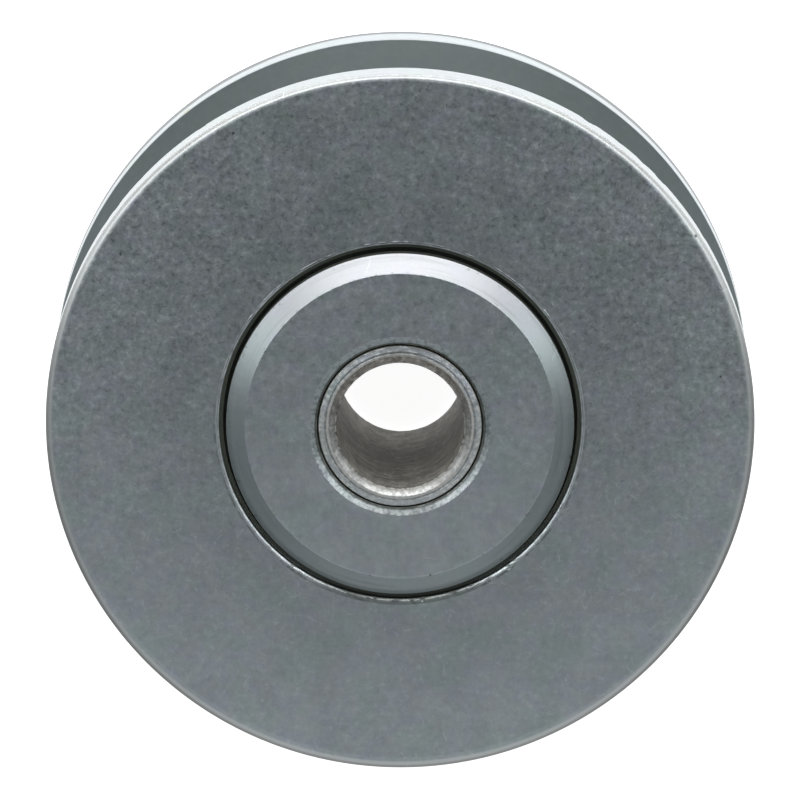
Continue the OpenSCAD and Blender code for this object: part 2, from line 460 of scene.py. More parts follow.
def knocked_by(tree, knocks, place):
    """How far the nearest knock moves a point: in under it, and out a little beside it."""
    struck = tree.add("GeometryNodeObjectInfo", {}, {"Object": knocks}).out("Geometry")
    nearest = tree.add("GeometryNodeSampleNearest", {}, {"Geometry": struck})
    size = sample(tree, "FLOAT", struck, named(tree, "size"), nearest)
    burr = sample(tree, "FLOAT", struck, named(tree, "burr"), nearest)
    centre = sample(tree, "FLOAT_VECTOR", struck, place, nearest)
    uneven = 0.75 + 0.5 * tree.noise(place, 0.5 * MM)
    share = tree.distance(place, centre) * uneven / size.math("MAXIMUM", SAME_POINT)
    beside = share.rise(0.7, 1.05) * share.rise(1.6, 1.05)
    return beside * burr - share.rise(1, 0) * size * KNOCK_DEPTH


def lathe_group():
    """Sweeps an outline round Z, wears its edges, and gives it its materials."""
    group = new_group("lathe", {
        "Segments": "Int", "Ragged": "Float", "Off Centre": "Float", "Knocks": "Object",
        "Material": "Material", "Bore Radius": "Float", "Bore Material": "Material"})
    tree = Tree(group)
    given = tree.add("NodeGroupInput")
    place = tree.add("GeometryNodeInputPosition")
    whole = swept(tree, given.out("Geometry"), given.out("Segments"), place)
    push = knocked_by(tree, given.out("Knocks"), place) + torn_by(tree, given.out("Ragged"), place)
    outwards = tree.scaled(tree.add("GeometryNodeInputNormal"), push)
    sideways = tree.combine(0.0, given.out("Off Centre") * off_centre(tree, place), 0.0)
    worn = tree.add("GeometryNodeSetPosition", {}, {
        "Geometry": whole, "Offset": tree.vector("ADD", outwards, sideways)})
    smooth = tree.add("GeometryNodeSetShadeSmooth", {}, [worn])
    real = tree.add("GeometryNodeRealizeInstances", {}, [smooth])
    zinced = tree.add("GeometryNodeSetMaterial", {}, {
        "Geometry": real, "Material": given.out("Material")})
    in_bore = tree.radius(place).math("LESS_THAN", given.out("Bore Radius"))
    tree.add("NodeGroupOutput", {}, [tree.add("GeometryNodeSetMaterial", {}, {
        "Geometry": zinced, "Selection": in_bore, "Material": given.out("Bore Material")})])
    return group


lathe = lathe_group()

# %% Using the tree
def loose_points(name, points, **numbers):
    """An object of points alone, each with its own numbers."""
    mesh = bpy.data.meshes.new(name)
    mesh.from_pydata(points, [], [])
    for label, values in numbers.items():
        mesh.attributes.new(label, "FLOAT", "POINT").data.foreach_set("value", values)
    holder = bpy.data.objects.new(name, mesh)
    bpy.context.scene.collection.objects.link(holder)
    return holder


def baked(piece, group, settings):
    """Runs a geometry tree on the piece, and keeps its result as a plain mesh."""
    modifier = piece.modifiers.new(group.name, "NODES")
    modifier.node_group = group
    for item in group.interface.items_tree:
        if item.name in settings:
            modifier[item.identifier] = settings[item.name]
    evaluated = piece.evaluated_get(bpy.context.evaluated_depsgraph_get())
    mesh = bpy.data.meshes.new_from_object(evaluated)
    piece.modifiers.remove(modifier)
    piece.data = mesh
    return piece


def knock(angle, radius, height, size, burr=0.0):
    """A struck place: where it is, how wide it is, and how far metal stands up beside it."""
    turn = math.radians(angle)
    return ((radius * math.cos(turn), radius * math.sin(turn), height), size, burr)


def turned(name, corners, material, segments, ragged, knocks=(), bore=(0.0, None), off_centre=0.0):
    """A finished turned piece. Its bore may have a radius and a material of its own."""
    points, raggedness = zip(*outline(corners))
    piece = loose_points(name, [(r, 0, z) for r, z in points], ragged=raggedness)
    places, sizes, burrs = zip(*knocks) if knocks else ((), (), ())
    marks = loose_points("knocks", places, size=sizes, burr=burrs)
    baked(piece, lathe, {
        "Segments": segments, "Ragged": ragged, "Off Centre": off_centre, "Knocks": marks,
        "Material": material, "Bore Radius": bore[0], "Bore Material": bore[1] or material})
    bpy.data.objects.remove(marks)
    print(name, "has", len(piece.data.polygons), "faces and", len(knocks), "knocks")
    return piece

# %% [markdown]
# ## Marks on metal
#
# A plated surface isn't one grey. Each thing that breaks it up is a mask from 0 to 1
# on the piece's own coordinates: clouds, marks, specks, scratches, the lines of the
# tool. Colour, roughness and bump then share the masks, so that a scratch is
# bright, smooth and sunk at once.

# %% Masks
FULL_TURN = 6.283


def scratches(tree, place, cell, width, share, seed):
    """At most one scratch in each cell of the plane, turned at random."""
    x, y, z = tree.split(place)
    flat = tree.combine(x + seed, y + z * 0.7)
    settings, inputs = {"voronoi_dimensions": "2D"}, {"Vector": flat, "Scale": 1 / cell}
    spots = tree.add("ShaderNodeTexVoronoi", settings, inputs)
    chance, turn, reach = tree.split(spots.out("Color"))
    across, along, _ = tree.split(tree.vector("SUBTRACT", flat, spots.out("Position")))
    cosine, sine = (turn * FULL_TURN).math("COSINE"), (turn * FULL_TURN).math("SINE")
    bend = tree.noise(flat, 1.5 * MM, 0.0) * 0.6 * MM
    off_line = abs(across * cosine + along * sine + bend)
    on_line = abs(along * cosine - across * sine)
    length = cell * (0.06 + 0.28 * reach)
    line = off_line.rise(width, 0.2 * width) * (on_line / length).rise(1.0, 0.4)
    return line * chance.math("LESS_THAN", share)


def marks(tree, place, size, width):
    """Short curved marks: the places where a noise is just at its middle, with breaks."""
    level = abs(tree.noise(place, size, 1.0) - 0.5)
    breaks = tree.noise(tree.moved(place, 0.11, 0.23, 0.31), 0.45 * size, 1.0)
    return level.rise(width, 0.3 * width) * breaks.rise(0.54, 0.62)


def specks(tree, place, cell, share):
    """Small spots of uneven outline and size, at most one in each cell."""
    wobble = tree.add("ShaderNodeTexNoise", {}, {"Vector": place, "Scale": 1 / (0.3 * MM)})
    uneven = tree.vector("ADD", place, tree.scaled(wobble.out("Color"), 0.25 * MM))
    spots = tree.add("ShaderNodeTexVoronoi", {}, {"Vector": uneven, "Scale": 1 / cell})
    chance, size, _ = tree.split(spots.out("Color"))
    spot = (spots.out("Distance") / (0.05 + 0.1 * size)).rise(1.0, 0.4)
    return spot * chance.math("LESS_THAN", share)


def blemish(tree, place, spot, size):
    """One spot of uneven outline at this place, in millimetres."""
    uneven = 0.6 + 0.8 * tree.noise(place, 0.6 * size * MM, 2.0)
    away = tree.distance(place, tuple(part * MM for part in spot))
    return (away * uneven).rise(size * MM, 0.5 * size * MM)


def from_axis(tree, place):
    """Radius from the wheel's axis, angle round it, and height."""
    x, y, z = tree.split(place)
    return tree.radius(place), y.math("ARCTAN2", x), z


def tool_lines(tree, place, pitch):
    """Fine rings left by the lathe, which come and go round the piece."""
    radius, angle, z = from_axis(tree, place)
    along = tree.combine((radius + z) / pitch, angle.math("COSINE") * 1.5, angle.math("SINE") * 1.5)
    return tree.add("ShaderNodeTexNoise", {}, {"Vector": along, "Scale": 1.0, "Detail": 2.0})


def stretched(tree, place, across, along):
    """Noise whose blobs are this size along X and Y."""
    x, y, z = tree.split(place)
    flat = tree.combine(x / across, y / along, z / across)
    return tree.add("ShaderNodeTexNoise", {}, {"Vector": flat, "Scale": 1.0, "Detail": 2.0})

# %% Building a metal
def new_metal(name):
    """An empty material, its tree and the place on the piece that it's asked for."""
    material = bpy.data.materials.new(name)
    material.use_nodes = True
    material.node_tree.nodes.clear()
    tree = Tree(material.node_tree)
    return material, tree, tree.add("ShaderNodeTexCoord").out("Object")


def finish_metal(tree, colour, roughness, height, depth=0.02 * MM, metallic=1.0, specular=0.5):
    """Joins colour, roughness and a bump of this depth in one surface."""
    bump = tree.add("ShaderNodeBump", {}, {"Strength": 1.0, "Distance": depth, "Height": height})
    surface = tree.add("ShaderNodeBsdfPrincipled", {}, {
        "Base Color": colour, "Metallic": metallic, "Roughness": roughness, "Normal": bump,
        "Specular IOR Level": specular})
    tree.add("ShaderNodeOutputMaterial", {}, [surface])


def shade(colour, factor):
    """A colour made darker or lighter by this factor."""
    return (*(part * factor for part in colour), 1)

# %% [markdown]
# ## Zinc
#
# Zinc with a clear passivation is a cool grey that drifts between violet and green.
# The plating took unevenly, which leaves it cloudy at every size from a grain to a
# fingertip. Painted shade darkens the face towards the middle and on its far half.
# Lying among other wheels gave the face its short scratches and dark rubbed marks.
# The walls of the narrow gaps are the one place without a shine: grease covers them.
# Deeper down, that grease is painted paler, as painted light.

# %% Zinc plating
VIOLET, GREY, GREEN = (0.43, 0.475, 0.535), (0.445, 0.49, 0.51), (0.405, 0.49, 0.485)


def zinc(tree, place, contrast, bright=1.0):
    """Colour and cloudiness of the plating."""
    drift = tree.noise(place, 2.4 * MM, 3.0, 0.65)
    patch = tree.noise(tree.moved(place, 0.3, 0.1, 0.2), 5.5 * MM, 3.0, 0.6)
    colour = tree.mix(drift.rise(0.4, 0.6), shade(VIOLET, bright), shade(GREY, bright))
    colour = tree.mix(patch.rise(0.47, 0.6) * 0.65, colour, shade(GREEN, bright))
    clouds = tree.noise(tree.moved(place, 0.5, 0.7, 0.1), 0.82 * MM, 4.0, 0.72)
    colour = tree.mix(clouds.rise(0.52, 0.2) * contrast, colour, shade(GREY, 0.2 * bright))
    colour = tree.mix(clouds.rise(0.48, 0.8) * contrast, colour, shade(GREY, 2.0 * bright))
    return colour, clouds

# %% Zinc on the wheel
BARE_EDGE_AND_HIGHLIGHT, BROWN_EDGE = (0.76, 0.79, 0.795, 1), (0.3, 0.28, 0.26, 1)
OIL, DIRT_AND_PAINTED_SHADE, TORN_STEEL = (0.5, 0.48, 0.26, 1), (0.1, 0.11, 0.1, 1), (0.13, 0.125, 0.11, 1)
GREASE_AT_EDGE, GREASE_PAINTED_PALE_BELOW = (0.07, 0.083, 0.071, 1), (0.17, 0.195, 0.165, 1)
# Each spot has its place and its size, in millimetres.
DARK_SPOTS = [((-18.7, 33.3, 14.75), 0.24), ((-31.4, 19.5, 14.75), 0.22),
              ((36.1, 5.5, 14.75), 0.2), ((33.2, 21.6, 14.6), 0.25)]
OIL_SPOT = ((-24.6, 31.6, -9.8), 0.75)


def wheel_places(tree, place):
    """Where things are on the wheel: numbers in metres, and masks from 0 to 1."""
    radius = tree.radius(place)
    x, y, z = tree.split(place)
    return SimpleNamespace(
        place=place, radius=radius, y=y, z=z,
        far=y.rise(-22 * MM, 28 * MM),
        aside=abs(x).rise(4 * MM, 28 * MM),
        face=abs(z).rise(wheel_face - 0.6 * MM, wheel_face - 0.4 * MM),
        land=radius.rise(wheel_r - 0.14 * MM, wheel_r - 0.06 * MM))


def plated(tree, at):
    """The plating: cloudiest on the far half of the face, with painted shade on the far half,
    towards the middle and in the groove.
    """
    contrast = 0.16 + at.face * (0.03 + at.far * (0.34 + 0.22 * at.aside)) + at.land * 0.2
    colour, clouds = zinc(tree, at.place, contrast, 1.1)
    tone = tree.noise(tree.moved(at.place, 0.4, 0, 0.2), 4.5 * MM, 3.0, 0.6).rise(0.62, 0.38)
    colour = tree.mix(tone * (0.1 + 0.08 * at.far) * at.face, colour, shade(GREY, 0.2))
    # Painted shade: the face is darker towards the middle and on its far half.
    middle = at.radius.rise(40 * MM, 19 * MM)
    colour = tree.mix((middle * 0.2 + at.far * 0.12) * at.face, colour, shade(GREY, 0.3))
    # Painted shade: the groove is darker than the face.
    groove = (1 - at.face) * (1 - at.land)
    return tree.mix(groove * 0.8, colour, shade(GREEN, 0.33)), clouds


def rim_wear_and_painted_light(tree, at, colour):
    """Bright where the edges were rubbed bare, with painted highlight and shade round the rim, and
    painted shade along the outside of the rear rim.
    """
    edge = (at.radius - 0.25 * MM * at.far).rise(wheel_r - 0.95 * MM, wheel_r - 0.6 * MM)
    edge = edge * abs(at.z).rise(wheel_face - 1 * MM, wheel_face - 0.6 * MM)
    # Painted light: the rubbed edge is dimmer in the middle of the far half and brighter at its
    # sides.
    edge = edge * (0.75 + (0.5 * at.aside - 0.35) * at.far)
    colour = tree.mix((at.land * 0.5).math("MAXIMUM", edge), colour, BARE_EDGE_AND_HIGHLIGHT)
    # Painted shade: a grey band along the outside of the rear rim, wider at the sides.
    rear = (at.z - at.aside * 1.4 * MM).rise(2.3 * MM - wheel_face, 1.1 * MM - wheel_face)
    colour = tree.mix(rear * at.land * 0.84, colour, shade(GREY, 0.3))
    outmost = at.radius.rise(wheel_r - 0.4 * MM, wheel_r - 0.26 * MM) * (1 - at.far)
    return tree.mix(outmost * at.face * 0.4, colour, BROWN_EDGE)


def spotted(tree, at, colour):
    """Dark marks, four dark spots and a trace of oil. Also gives the mask of the marks."""
    dark = marks(tree, at.place, 1.2 * MM, 0.05) * (0.15 + 0.8 * at.far)
    few = specks(tree, at.place, 2.2 * MM, 0.2) * (0.3 + 0.6 * at.far)
    inside = at.radius.rise(wheel_r - 0.5 * MM, wheel_r - 0.9 * MM)
    dark = dark.math("MAXIMUM", few) * at.face * inside
    colour = tree.mix(dark * 0.38, colour, shade(GREY, 0.25))
    spots = [blemish(tree, at.place, *spot) for spot in DARK_SPOTS]
    colour = tree.mix(largest(spots) * 0.75, colour, shade(GREY, 0.14))
    oil = blemish(tree, at.place, *OIL_SPOT)
    return tree.mix(oil * 0.4, colour, OIL), dark


def scratched(tree, at, colour):
    """Short bright scratches in crowds, and a few long ones. Also gives their mask."""
    crowds = tree.noise(tree.moved(at.place, 0, 0.6, 0), 6 * MM, 1.0).rise(0.42, 0.6)
    lines = largest([
        scratches(tree, at.place, 2.6 * MM, 0.1 * MM, 0.4, 0.9) * (0.2 + 0.8 * crowds),
        scratches(tree, at.place, 11 * MM, 0.09 * MM, 0.3, 0.4) * 0.6,
        marks(tree, tree.moved(at.place, 0.2, 0, 0), 1.4 * MM, 0.035) * 0.5]) * at.face
    return tree.mix(lines * 0.28, colour, shade(GREY, 2.0)), lines


def mouth_wear_and_painted_light(tree, at, colour):
    """The mouth: a bright band, partly wear and partly painted highlight; dirt and painted shade
    round it; grease inside, painted paler deeper down. Gives the grease's mask too.
    """
    outwards = tree.radius(tree.moved(at.place, 0, -OFF_CENTRE, 0)) - mouth_r
    near = (1 - at.far) * (1 - at.far)
    nearest = at.y.rise(-17.5 * MM, -19.5 * MM)
    rubbed = tree.noise(at.place, 1.4 * MM, 3.0, 0.6).rise(0.42, 0.6)
    # Dark ring outside the mouth on the near half: partly dirt, partly a painted shadow of the burr.
    ring = abs(outwards - 0.48 * MM).rise(0.28 * MM, 0.1 * MM)
    colour = tree.mix(ring * (0.7 * rubbed * near).math("MAXIMUM", nearest * 0.5), colour, DIRT_AND_PAINTED_SHADE)
    # A bright band round the edge, missing at the bottom and the top: partly wear, partly a painted
    # highlight on the burr.
    worn = outwards.band(0.2 * MM, 0.1 * MM, 0.16 * MM) * (1 - nearest)
    worn = worn * at.y.rise(19 * MM, 14 * MM)
    colour = tree.mix(worn * (0.4 + 0.6 * rubbed) * 0.55, colour, shade(GREY, 1.9))
    # Painted shade on the edge of the mouth at its bottom.
    colour = tree.mix(outwards.rise(0.3 * MM, 0.2 * MM) * nearest * 0.65, colour, DIRT_AND_PAINTED_SHADE)
    wall = outwards.rise(0.06 * MM, 0.02 * MM)
    # Painted light: the grease on the wall is paler deeper down, where less light reaches.
    deep = abs(at.z).rise(wheel_face - 0.5 * MM, wheel_face - 1.5 * MM)
    grease = tree.mix(deep, GREASE_AT_EDGE, GREASE_PAINTED_PALE_BELOW)
    return tree.mix(wall, colour, grease), wall


def torn_edges(tree, at, colour):
    """Bared brownish steel on the ragged edges."""
    torn = tree.add("ShaderNodeAttribute", {"attribute_name": "ragged"}).out("Fac").rise(0.1, 0.6)
    blot = tree.noise(at.place, 0.7 * MM, 3.0, 0.65).rise(0.4, 0.58)
    struck = at.y.rise(-16 * MM, -20.5 * MM).math("MAXIMUM", at.far)
    return tree.mix(torn * (0.15 + 0.4 * struck + 0.45 * blot), colour, TORN_STEEL)


def wheel_zinc():
    """Cloudy plating with painted shade, rubbed rims with painted light, scratches and spots, and a
    mouth with dirt, grease, painted light and painted shade.
    """
    material, tree, place = new_metal("wheel zinc")
    at = wheel_places(tree, place)
    colour, clouds = plated(tree, at)
    colour = rim_wear_and_painted_light(tree, at, colour)
    colour, dark = spotted(tree, at, colour)
    colour, lines = scratched(tree, at, colour)
    colour, wall = mouth_wear_and_painted_light(tree, at, colour)
    colour = torn_edges(tree, at, colour)
    roughness = 0.33 + 0.1 * clouds + 0.08 * at.land - 0.06 * lines + 0.2 * wall
    height = 0.6 * clouds - 0.2 * dark - 0.2 * lines
    finish_metal(tree, colour, roughness, height, metallic=1 - wall)
    return material

# %% Zinc on the discs
BEVEL_NEAR, BEVEL_FAR = (0.42, 0.49, 0.5, 1), (0.475, 0.485, 0.52, 1)
GRIME_AND_PAINTED_SHADE, STAIN_AND_PAINTED_SHADE, LIP_PAINTED_SHADE = (0.12, 0.14, 0.12, 1), (0.14, 0.155, 0.15, 1), (0.08, 0.09, 0.083, 1)
RUBBED_SINK_AND_HIGHLIGHT, SIDE_GREASE_PAINTED_PALE = (0.8, 0.82, 0.83, 1), (0.66, 0.74, 0.65, 1)
HOLE_GREASE, SIDE_GREASE = (0.17, 0.185, 0.165, 1), (0.1, 0.115, 0.1, 1)


def edge_dirt_and_painted_shade(tree, colour, place, radius, far):
    """Dirt that holds on along both edges of a disc's bevel; at the outer edge it is partly painted
    shade, and more painted shade darkens that edge on the near half.
    """
    grime = tree.noise(place, 0.7 * MM, 3.0, 0.7).rise(0.58, 0.72)
    inner = abs(radius - (disc_r - 2.1 * MM)).rise(0.3 * MM, 0.05 * MM)
    # The grime at the outer edge is partly painted shade on its round.
    outer = radius.rise(disc_r - 0.7 * MM, disc_r - 0.1 * MM)
    both = (inner + outer).math("MINIMUM", 1.0)
    colour = tree.mix(both * grime * 0.7, colour, GRIME_AND_PAINTED_SHADE)
    # Painted shade: the outer edge of the bevel is darker on the near half.
    near_rim = radius.rise(disc_r - 0.8 * MM, disc_r - 0.15 * MM) * (1 - far)
    return tree.mix(near_rim * 0.45, colour, shade(GREEN, 0.3))


def sink_wear_and_painted_light(tree, colour, place, radius, far):
    """The sink round the tube: stained, more on the far half as painted shade; bright on the near
    side, partly rubbed and partly painted highlight; and painted shade at its lip.
    """
    sink = radius.rise(flare_r + 1.18 * MM, flare_r + 1.06 * MM)
    worn = tree.noise(place, 0.5 * MM, 3.0, 0.7)
    # Stains, heavier on the far half as painted shade.
    stained = sink * (0.25 + 0.75 * worn.rise(0.52, 0.35)) * (0.35 + 0.25 * far)
    colour = tree.mix(stained, colour, STAIN_AND_PAINTED_SHADE)
    # Bright on the near half: partly rubbed, partly painted highlight.
    bright = sink * worn.rise(0.45, 0.6) * (1 - far)
    colour = tree.mix(bright * 0.42, colour, RUBBED_SINK_AND_HIGHLIGHT)
    # Painted shade with a ragged edge round the gap at the tube, strongest on the far half.
    ragged = radius + 0.2 * MM * (worn - 0.5) + far * 0.12 * MM
    lip = ragged.rise(flare_r + 0.62 * MM, flare_r + 0.46 * MM)
    return tree.mix(lip * (0.7 + 0.2 * far), colour, LIP_PAINTED_SHADE)


def grease_and_painted_light_on_sides(tree, colour, radius, z):
    """Grease on the side and in the hole, painted paler deep in the gap as painted light. Also gives
    its mask.
    """
    side = radius.rise(disc_r - 0.03 * MM, disc_r - 0.01 * MM)
    dull = side.math("MAXIMUM", radius.rise(flare_r + 0.3 * MM, flare_r + 0.25 * MM))
    colour = tree.mix(dull, colour, tree.mix(side, HOLE_GREASE, SIDE_GREASE))
    # Painted light: the grease on the side is paler deep in the gap.
    deep = abs(z).rise(disc_face - 1.9 * MM, disc_face - 3.4 * MM)
    return tree.mix(side * deep, colour, SIDE_GREASE_PAINTED_PALE), dull


def disc_zinc():
    """Finely brushed plating, painted lighter on the near half, with tool lines, dirt and painted
    shade on the bevel, and a worn sink with painted highlight and shade.
    """
    material, tree, place = new_metal("disc zinc")
    radius = tree.radius(place)
    _, y, z = tree.split(place)
    far = y.rise(-14 * MM, 14 * MM)
    bevel = abs(z).rise(disc_face - 0.02 * MM, disc_face - 0.1 * MM)
    flat = 1 - bevel
    colour, clouds = zinc(tree, place, 0.2 + 0.24 * far * flat, 1.03)
    tone = tree.noise(tree.moved(place, 0.1, 0.3, 0), 3.4 * MM, 3.0, 0.6).rise(0.62, 0.38)
    colour = tree.mix(tone * 0.1 * flat, colour, shade(GREY, 0.2))
    bevel_tone = tree.mix(y.rise(8 * MM, 15 * MM), BEVEL_NEAR, BEVEL_FAR)
    colour = tree.mix(bevel * 0.65, colour, bevel_tone)
    # Painted light: the near half is lighter.
    colour = tree.mix((1 - far) * 0.09, colour, shade(GREY, 2.0))
    brushed = stretched(tree, place, 0.3 * MM, 1.4 * MM)
    lines = scratches(tree, place, 3.5 * MM, 0.09 * MM, 0.25, 0.2)
    streaks = (brushed.rise(0.5, 0.75) * flat * 0.07).math("MAXIMUM", lines * 0.25)
    colour = tree.mix(streaks, colour, shade(GREY, 1.6))
    rings = tool_lines(tree, place, 0.2 * MM)
    colour = tree.mix(bevel * rings.rise(0.5, 0.3) * 0.3, colour, shade(GREY, 0.6))
    colour = edge_dirt_and_painted_shade(tree, colour, place, radius, far)
    colour = sink_wear_and_painted_light(tree, colour, place, radius, far)
    colour, dull = grease_and_painted_light_on_sides(tree, colour, radius, z)
    roughness = 0.31 + 0.1 * clouds - 0.04 * lines + 0.2 * dull
    height = 0.5 * clouds - 0.3 * lines + 0.12 * brushed * flat + 0.15 * rings * bevel
    finish_metal(tree, colour, roughness, height, metallic=1 - dull)
    return material

# %% Zinc on the tube
RUBBED_FACE_AND_HIGHLIGHT, SHADED_FACE = (0.76, 0.79, 0.78, 1), (0.2, 0.21, 0.2, 1)
RUBBED_LIP, RUBBED_FLARE_AND_HIGHLIGHT = (0.74, 0.74, 0.71, 1), (0.95, 0.95, 0.93, 1)
LINE_DIRT, FLARE_GREASE = (0.13, 0.13, 0.12, 1), (0.2, 0.21, 0.19, 1)
THIN_DARK, THIN_PALE = (0.29, 0.27, 0.245, 1), (0.44, 0.42, 0.395, 1)
THIN_RUBBED, BARE_RIDGE = (0.8, 0.78, 0.74, 1), (0.55, 0.55, 0.52, 1)
NEAR_DARK, NEAR_PALE = (0.33, 0.35, 0.36, 1), (0.56, 0.585, 0.59, 1)
NEAR_PAINTED_HIGHLIGHT, DARK_TOWARDS_BORE = (0.86, 0.9, 0.91, 1), (0.11, 0.112, 0.1, 1)


def bore_bevel(tree, place, radius, y, near, worn):
    """Thin, stained plating on the bevel of the tube's hole, paler on the near side, with a painted
    highlight low on that side and darker towards the bore on the near half.
    """
    stain = tree.noise(place, 1.4 * MM, 3.0, 0.6)
    colour = tree.mix(stain.rise(0.35, 0.65), THIN_DARK, THIN_PALE)
    colour = tree.mix(worn.rise(0.5, 0.65) * 0.6, colour, THIN_RUBBED)
    pale = tree.mix(worn.rise(0.35, 0.65), NEAR_DARK, NEAR_PALE)
    colour = tree.mix(near * 0.75, colour, pale)
    # Painted highlight on the outer part of the bevel at the bottom, mottled by wear.
    bright = y.rise(-6.2 * MM, -7.5 * MM) * radius.rise(7.5 * MM, 7.85 * MM)
    colour = tree.mix(bright * (0.2 + 0.4 * worn.rise(0.4, 0.6)), colour, NEAR_PAINTED_HIGHLIGHT)
    # Darker towards the bore on the near half.
    inwards = radius.rise(7.75 * MM, 7.15 * MM)
    return tree.mix(inwards * near * 0.85, colour, DARK_TOWARDS_BORE)


def tube_zinc():
    """Rubbed, cloudy plating, with painted highlight on the near half and at the sides of the flare
    and painted shade on the far middle, a dirty turned line in it, and the bevel of the hole.
    """
    material, tree, place = new_metal("tube zinc")
    radius = tree.radius(place)
    x, y, _ = tree.split(place)
    near = y.rise(6 * MM, -2 * MM)
    aside = abs(x).rise(1.5 * MM, 5 * MM)
    colour, clouds = zinc(tree, place, 0.45)
    worn = tree.noise(place, 0.55 * MM, 3.0, 0.7)
    rubbed = worn.rise(0.4, 0.6)
    # Rubbed bright, and brighter on the near half: partly wear, partly painted highlight.
    colour = tree.mix((worn.rise(0.48, 0.66) + near * 0.5) * 0.5, colour, RUBBED_FACE_AND_HIGHLIGHT)
    lip = radius.rise(8.36 * MM, 8.26 * MM)
    colour = tree.mix(lip * (0.5 + 0.5 * rubbed), colour, RUBBED_LIP)
    # Rubbed bright at the sides of the flare: partly wear, partly painted highlight.
    outer = radius.rise(8.7 * MM, 8.95 * MM)
    colour = tree.mix(outer * aside * rubbed * 0.5, colour, RUBBED_FLARE_AND_HIGHLIGHT)
    colour = tree.mix((1 - aside) * (1 - near) * 0.35, colour, SHADED_FACE)
    bevel = (radius + 0.2 * MM * (worn - 0.5)).rise(8.14 * MM, 8.02 * MM)
    edge = abs(radius + 0.3 * MM * (worn - 0.5) - 7.3 * MM).rise(0.12 * MM, 0.05 * MM)
    edge = edge * worn.rise(0.42, 0.56) * bevel
    stained = bore_bevel(tree, place, radius, y, near, worn)
    colour = tree.mix(bevel, colour, tree.mix(edge * 0.6, stained, BARE_RIDGE))
    line = abs(radius + 0.1 * MM * (worn - 0.5) - 8.46 * MM).rise(0.17 * MM, 0.04 * MM)
    colour = tree.mix(line * (0.4 + 0.25 * worn.rise(0.58, 0.42)), colour, LINE_DIRT)
    outside = radius.rise(flare_r - 0.05 * MM, flare_r - 0.02 * MM)
    colour = tree.mix(outside, colour, FLARE_GREASE)
    finish_metal(tree, colour, 0.38 + 0.12 * clouds, 0.7 * clouds + 0.5 * worn, 0.03 * MM,
                 metallic=1 - outside.math("MAXIMUM", edge * 0.8))
    return material

# %% [markdown]
# ## The bore
#
# The inside of the tube isn't plated as well as the rest: it's brown, dull steel,
# with long marks from the bolt that goes through it. Dull oxide isn't a mirror, so
# this is the one metal here that is mostly a plain surface.

# %% Bore steel
DARK_OXIDE, PALE_OXIDE = (0.125, 0.116, 0.097, 1), (0.27, 0.255, 0.225, 1)
BRIGHT_RING, DARK_RING = (0.5, 0.485, 0.44, 1), (0.08, 0.078, 0.062, 1)
PAINTED_LIGHT_AT_ENDS, BLOT, RUBBED_STEEL = (0.6, 0.59, 0.56, 1), (0.06, 0.06, 0.045, 1), (0.6, 0.58, 0.53, 1)


def round_bore(tree, angle, z, turns, length, settings):
    """Noise on the bore: this many blobs round the axis, each of this length along it."""
    along = tree.combine(angle.math("COSINE") * turns, angle.math("SINE") * turns, z / length)
    return tree.add("ShaderNodeTexNoise", {}, {"Vector": along, **settings})


def bore_steel():
    """Brown oxide with fine rings, painted light towards both ends, with blots and rubbed marks."""
    material, tree, place = new_metal("bore steel")
    _, angle, z = from_axis(tree, place)
    aside = abs(tree.split(place)[0]).rise(3 * MM, 6.5 * MM)
    stain = round_bore(tree, angle, z, 7, 4 * MM, {"Scale": 0.8, "Detail": 5.0, "Roughness": 0.7})
    rings = round_bore(tree, angle, z, 2, 0.6 * MM, {"Scale": 1.0, "Detail": 4.0})
    colour = tree.mix(stain.rise(0.35, 0.62), DARK_OXIDE, PALE_OXIDE)
    bright = rings.rise(0.5, 0.68) * (0.45 + 0.35 * aside)
    colour = tree.mix(bright, colour, BRIGHT_RING)
    colour = tree.mix(rings.rise(0.48, 0.3) * 0.55, colour, DARK_RING)
    # Painted light: paler towards both ends of the bore.
    ends = z.rise(-2 * MM, -12 * MM) * 0.75 + z.rise(10 * MM, 15.8 * MM) * 0.5
    colour = tree.mix(ends * (0.6 + 0.6 * stain.rise(0.35, 0.65)), colour, PAINTED_LIGHT_AT_ENDS)
    blots = tree.noise(place, 1.5 * MM, 4.0, 0.7).rise(0.56, 0.42)
    colour = tree.mix(blots * 0.4, colour, BLOT)
    rubbed = marks(tree, place, 1.8 * MM, 0.03)
    colour = tree.mix(rubbed * 0.6, colour, RUBBED_STEEL)
    finish_metal(tree, colour, 0.5 + 0.2 * stain, rings, 0.02 * MM, metallic=0.35, specular=0.12)
    return material


zinc_of_wheel, zinc_of_discs, zinc_of_tube = wheel_zinc(), disc_zinc(), tube_zinc()
steel_of_bore = bore_steel()
print("metals:", [m.name for m in (zinc_of_wheel, zinc_of_discs, zinc_of_tube, steel_of_bore)])

# %% [markdown]
# ## The wheel
#
# Two flanks at a right angle, a small round in the root, and a worn edge at each rim.
# The groove's front edge is rolled over and its rear edge is still crisp. The mouth
# was hit round its edge, which raised a low ragged burr there. The mouth and the
# rim's bevel were cut a little off the axis, so the gap round the disc is uneven.

# %% The wheel's outline
def groove_root(centre=32.014 * MM, radius=1 * MM, steps=6):
    """Points of the round at the bottom of the groove, from its upper end down."""
    turns = [math.radians(45 - 90 * i / steps) for i in range(steps + 1)]
    return [(centre - radius * math.cos(turn), radius * math.sin(turn), 0) for turn in turns]


